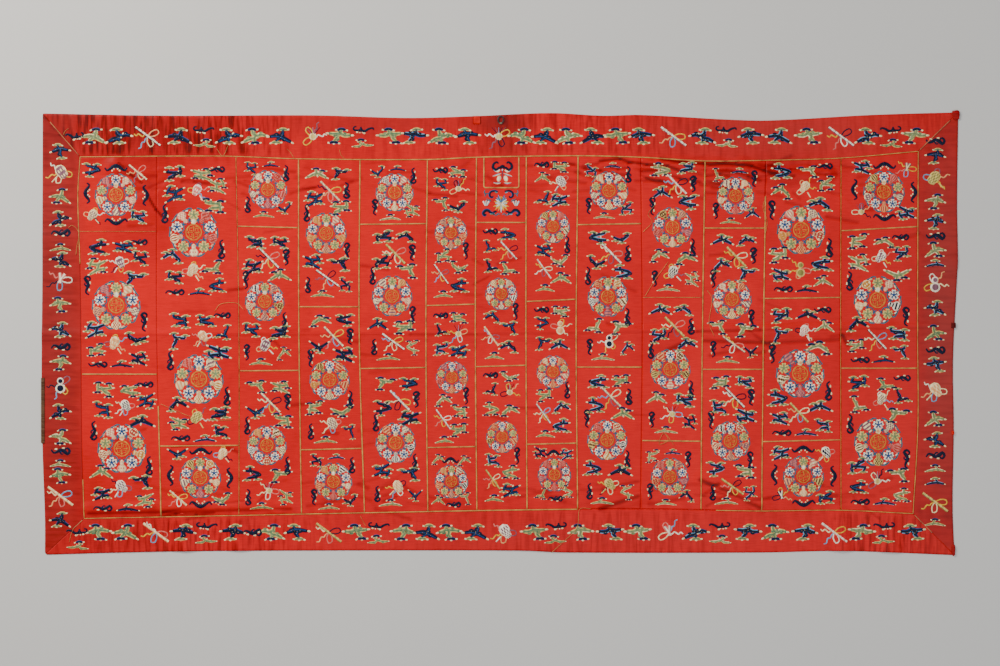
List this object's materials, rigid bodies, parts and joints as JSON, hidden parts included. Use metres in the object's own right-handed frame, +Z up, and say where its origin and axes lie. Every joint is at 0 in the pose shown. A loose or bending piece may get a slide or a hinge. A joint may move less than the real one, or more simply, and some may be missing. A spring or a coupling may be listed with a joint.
{
  "type": "embroidered silk panel",
  "caption": "Pieced red silk satin mantle with embroidered roundels and clouds, gold tape on its seams and a mitred border, lying flat and face up.",
  "frame": {"origin": "under the middle of the mantle, on the surface that it lies on", "axes": "+X along the long side, +Y towards the top edge with the fastenings, +Z up out of the embroidered face"},
  "size_m": [2.452, 1.19, 0.0095],
  "materials": {
    "field_satin": "red silk satin, soft sheen",
    "border_satin": "crimson silk satin, soft sheen",
    "gold_tape": "woven gold-coloured tape",
    "gold_cord": "twisted gold-coloured cord",
    "tab_silk": "bright red silk",
    "dark_cord": "dark brown silk cord",
    "old_tape": "worn brown cotton tape"
  },
  "bodies": {
    "root": {"border_bottom": "border_satin", "border_left": "border_satin", "border_right": "border_satin", "border_top": "border_satin", "cord_mitre_bottom_left": "gold_cord", "cord_mitre_bottom_right": "gold_cord", "cord_mitre_top_left": "gold_cord", "cord_mitre_top_right": "gold_cord", "field": "field_satin", "loop_top": "dark_cord", "strip_left": "old_tape", "stub_right_high": "dark_cord", "stub_right_low": "tab_silk", "tab_corner_bottom": "tab_silk", "tab_corner_top": "tab_silk", "tab_top": "tab_silk", "tape_cross_01_high": "gold_tape", "tape_cross_01_low": "gold_tape", "tape_cross_02_low": "gold_tape", "tape_cross_03_high": "gold_tape", "tape_cross_03_low": "gold_tape", "tape_cross_04_high": "gold_tape", "tape_cross_04_low": "gold_tape", "tape_cross_05_high": "gold_tape", "tape_cross_05_low": "gold_tape", "tape_cross_06_high": "gold_tape", "tape_cross_06_low": "gold_tape", "tape_cross_07_high": "gold_tape", "tape_cross_07_low": "gold_tape", "tape_cross_08_high": "gold_tape", "tape_cross_08_low": "gold_tape", "tape_cross_09_high": "gold_tape", "tape_cross_09_low": "gold_tape", "tape_cross_10_high": "gold_tape", "tape_cross_10_low": "gold_tape", "tape_cross_11_high": "gold_tape", "tape_cross_11_low": "gold_tape", "tape_cross_12_high": "gold_tape", "tape_cross_12_low": "gold_tape", "tape_cross_13_high": "gold_tape", "tape_cross_13_low": "gold_tape", "tape_frame_corner": "gold_tape", "tape_frame_long": "gold_tape", "tape_inset": "gold_tape", "tape_seam_01": "gold_tape", "tape_seam_02": "gold_tape", "tape_seam_03": "gold_tape", "tape_seam_04": "gold_tape", "tape_seam_05": "gold_tape", "tape_seam_06": "gold_tape", "tape_seam_07": "gold_tape", "tape_seam_08": "gold_tape", "tape_seam_10": "gold_tape", "tape_seam_11": "gold_tape", "tape_seam_12": "gold_tape"}
  },
  "joints": []
}
